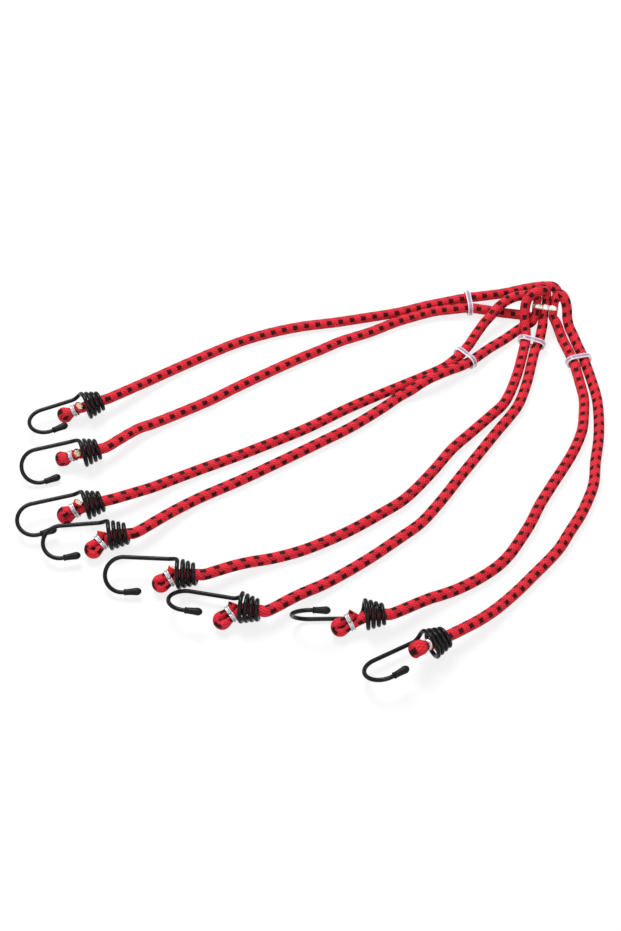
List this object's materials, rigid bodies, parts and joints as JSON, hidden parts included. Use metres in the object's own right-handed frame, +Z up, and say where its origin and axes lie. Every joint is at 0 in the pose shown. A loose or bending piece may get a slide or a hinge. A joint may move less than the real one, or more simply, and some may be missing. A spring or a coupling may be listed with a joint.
{
  "type": "multi-arm bungee strap",
  "caption": "Elastic luggage strap: braided red cords gathered in a metal clamp, each arm ending in a coated wire hook wound round its folded end.",
  "frame": {"origin": "on the surface that the strap lies on, under the middle of its layout", "axes": "+X from the hooks towards the centre clamp, +Y away from the front edge, +Z up from the surface"},
  "size_m": [0.4363, 0.3802, 0.0367],
  "materials": {
    "sheath": "braided red sheath with dark flecks",
    "core": "cut cream rubber",
    "hook_coat": "semi-gloss black coating on wire",
    "cap": "smooth black plastic",
    "ring_metal": "bright galvanised strip",
    "clamp_metal": "pale satin strip",
    "clip_clear": "clear, faintly tinted plastic"
  },
  "bodies": {
    "root": {"centre_clamp": "clamp_metal", "cord_a_middle": "sheath", "cord_b_middle": "sheath", "cord_c_middle": "sheath", "cord_d_middle": "sheath", "arm_1_cord": "sheath", "arm_2_cord": "sheath", "arm_3_cord": "sheath", "arm_4_cord": "sheath", "arm_5_cord": "sheath", "arm_6_cord": "sheath", "arm_7_cord": "sheath", "arm_8_cord": "sheath"},
    "end_1": {"arm_1_end": "sheath", "arm_1_core": "core", "arm_1_ring": "ring_metal"},
    "hook_1_body": {"hook_1": "hook_coat", "hook_1_cap": "cap"},
    "end_2": {"arm_2_end": "sheath", "arm_2_core": "core", "arm_2_ring": "ring_metal"},
    "hook_2_body": {"hook_2": "hook_coat", "hook_2_cap": "cap"},
    "end_3": {"arm_3_end": "sheath", "arm_3_core": "core", "arm_3_ring": "ring_metal"},
    "hook_3_body": {"hook_3": "hook_coat", "hook_3_cap": "cap"},
    "end_4": {"arm_4_end": "sheath", "arm_4_core": "core", "arm_4_ring": "ring_metal"},
    "hook_4_body": {"hook_4": "hook_coat", "hook_4_cap": "cap"},
    "end_5": {"arm_5_end": "sheath", "arm_5_core": "core", "arm_5_ring": "ring_metal"},
    "hook_5_body": {"hook_5": "hook_coat", "hook_5_cap": "cap"},
    "end_6": {"arm_6_end": "sheath", "arm_6_core": "core", "arm_6_ring": "ring_metal"},
    "hook_6_body": {"hook_6": "hook_coat", "hook_6_cap": "cap"},
    "end_7": {"arm_7_end": "sheath", "arm_7_core": "core", "arm_7_ring": "ring_metal"},
    "hook_7_body": {"hook_7": "hook_coat", "hook_7_cap": "cap"},
    "end_8": {"arm_8_end": "sheath", "arm_8_core": "core", "arm_8_ring": "ring_metal"},
    "hook_8_body": {"hook_8": "hook_coat", "hook_8_cap": "cap"},
    "clip_a": {"clip_a": "clip_clear"},
    "clip_b": {"clip_b": "clip_clear"},
    "clip_c": {"clip_c": "clip_clear"},
    "clip_d": {"clip_d": "clip_clear"}
  },
  "joints": [
    {"name": "arm_1_stretch", "type": "slide", "parent": "root", "child": "end_1", "axis": [-0.9613, -0.2756, 0], "range_m": [0, 0.2], "stiffness_N_per_m": 250, "deforming": ["arm_1_cord"]},
    {"name": "hook_1_swivel", "type": "hinge", "parent": "end_1", "child": "hook_1_body", "pos_m": [-0.1754, 0.055, 0.0115], "axis": [-0.9135, -0.4067, 0], "range_deg": [-38, 18]},
    {"name": "arm_2_stretch", "type": "slide", "parent": "root", "child": "end_2", "axis": [-0.9397, -0.342, 0], "range_m": [0, 0.2], "stiffness_N_per_m": 250, "deforming": ["arm_2_cord"]},
    {"name": "hook_2_swivel", "type": "hinge", "parent": "end_2", "child": "hook_2_body", "pos_m": [-0.1728, 0.0082, 0.0115], "axis": [-0.9563, -0.2924, 0], "range_deg": [0, 45]},
    {"name": "arm_3_stretch", "type": "slide", "parent": "root", "child": "end_3", "axis": [-0.9511, -0.309, 0], "range_m": [0, 0.2], "stiffness_N_per_m": 250, "deforming": ["arm_3_cord"]},
    {"name": "hook_3_swivel", "type": "hinge", "parent": "end_3", "child": "hook_3_body", "pos_m": [-0.166, -0.041, 0.0115], "axis": [-0.9613, -0.2756, 0], "range_deg": [-15, 8]},
    {"name": "arm_4_stretch", "type": "slide", "parent": "root", "child": "end_4", "axis": [-0.9135, -0.4067, 0], "range_m": [0, 0.2], "stiffness_N_per_m": 250, "deforming": ["arm_4_cord"]},
    {"name": "hook_4_swivel", "type": "hinge", "parent": "end_4", "child": "hook_4_body", "pos_m": [-0.1462, -0.0678, 0.0115], "axis": [-0.9954, -0.0958, 0], "range_deg": [-15, 12]},
    {"name": "arm_5_stretch", "type": "slide", "parent": "root", "child": "end_5", "axis": [-0.9397, -0.342, 0], "range_m": [0, 0.2], "stiffness_N_per_m": 250, "deforming": ["arm_5_cord"]},
    {"name": "hook_5_swivel", "type": "hinge", "parent": "end_5", "child": "hook_5_body", "pos_m": [-0.096, -0.101, 0.0115], "axis": [-0.9986, 0.0523, 0], "range_deg": [0, 112]},
    {"name": "arm_6_stretch", "type": "slide", "parent": "root", "child": "end_6", "axis": [-0.8191, -0.5736, 0], "range_m": [0, 0.2], "stiffness_N_per_m": 250, "deforming": ["arm_6_cord"]},
    {"name": "hook_6_swivel", "type": "hinge", "parent": "end_6", "child": "hook_6_body", "pos_m": [-0.052, -0.129, 0.0115], "axis": [-0.9816, 0.1908, 0], "range_deg": [-50, 80]},
    {"name": "arm_7_stretch", "type": "slide", "parent": "root", "child": "end_7", "axis": [-0.829, -0.5592, 0], "range_m": [0, 0.2], "stiffness_N_per_m": 250, "deforming": ["arm_7_cord"]},
    {"name": "hook_7_swivel", "type": "hinge", "parent": "end_7", "child": "hook_7_body", "pos_m": [0.032, -0.135, 0.0115], "axis": [-0.9998, -0.0174, 0], "range_deg": [-90, 26]},
    {"name": "arm_8_stretch", "type": "slide", "parent": "root", "child": "end_8", "axis": [-0.6428, -0.766, 0], "range_m": [0, 0.2], "stiffness_N_per_m": 250, "deforming": ["arm_8_cord"]},
    {"name": "hook_8_swivel", "type": "hinge", "parent": "end_8", "child": "hook_8_body", "pos_m": [0.0744, -0.1592, 0.0115], "axis": [-0.8829, -0.4695, 0], "range_deg": [-50, 120]},
    {"name": "clip_a_slide", "type": "slide", "parent": "root", "child": "clip_a", "axis": [-0.9939, -0.0994, 0.0473], "range_m": [-0.002, 0.005], "deforming": ["arm_1_cord", "arm_2_cord"]},
    {"name": "clip_b_slide", "type": "slide", "parent": "root", "child": "clip_b", "axis": [-0.6916, -0.7212, 0.04], "range_m": [-0.004, 0.006], "deforming": ["arm_3_cord", "arm_4_cord"]},
    {"name": "clip_c_slide", "type": "slide", "parent": "root", "child": "clip_c", "axis": [-0.2135, -0.9482, -0.2352], "range_m": [-0.003, 0.006], "deforming": ["arm_5_cord", "arm_6_cord"]},
    {"name": "clip_d_slide", "type": "slide", "parent": "root", "child": "clip_d", "axis": [0.162, -0.9859, -0.0424], "range_m": [-0.006, 0.009], "deforming": ["arm_7_cord", "arm_8_cord"]}
  ]
}
